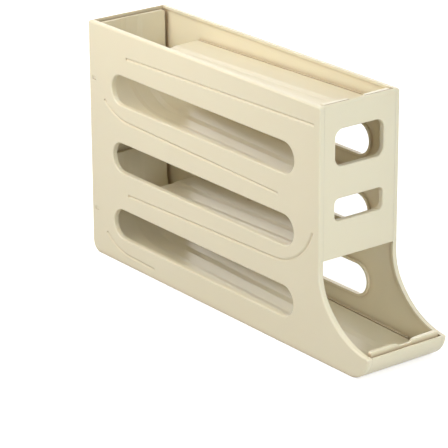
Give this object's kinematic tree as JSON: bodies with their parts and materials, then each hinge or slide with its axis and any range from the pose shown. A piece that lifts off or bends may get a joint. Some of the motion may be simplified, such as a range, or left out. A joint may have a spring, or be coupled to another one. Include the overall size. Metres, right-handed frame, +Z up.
{
  "type": "egg storage rack",
  "caption": "Free-standing egg rack: slotted side walls hold zigzag trays down which eggs roll from an open top to a low mouth at the front",
  "frame": {"origin": "on the table plane below the middle of the outside box", "axes": "X along the rack from the rear wall to the mouth, Y across the rack, Z up"},
  "size_m": [0.359, 0.0788, 0.2032],
  "materials": {
    "ivory_plastic": "satin"
  },
  "bodies": {
    "root": {"side_panel_right": "ivory_plastic", "side_panel_left": "ivory_plastic", "front_panel": "ivory_plastic", "rear_panel": "ivory_plastic", "base_panel": "ivory_plastic", "top_tray": "ivory_plastic", "second_tray": "ivory_plastic", "third_tray": "ivory_plastic", "bottom_tray": "ivory_plastic"}
  },
  "joints": []
}
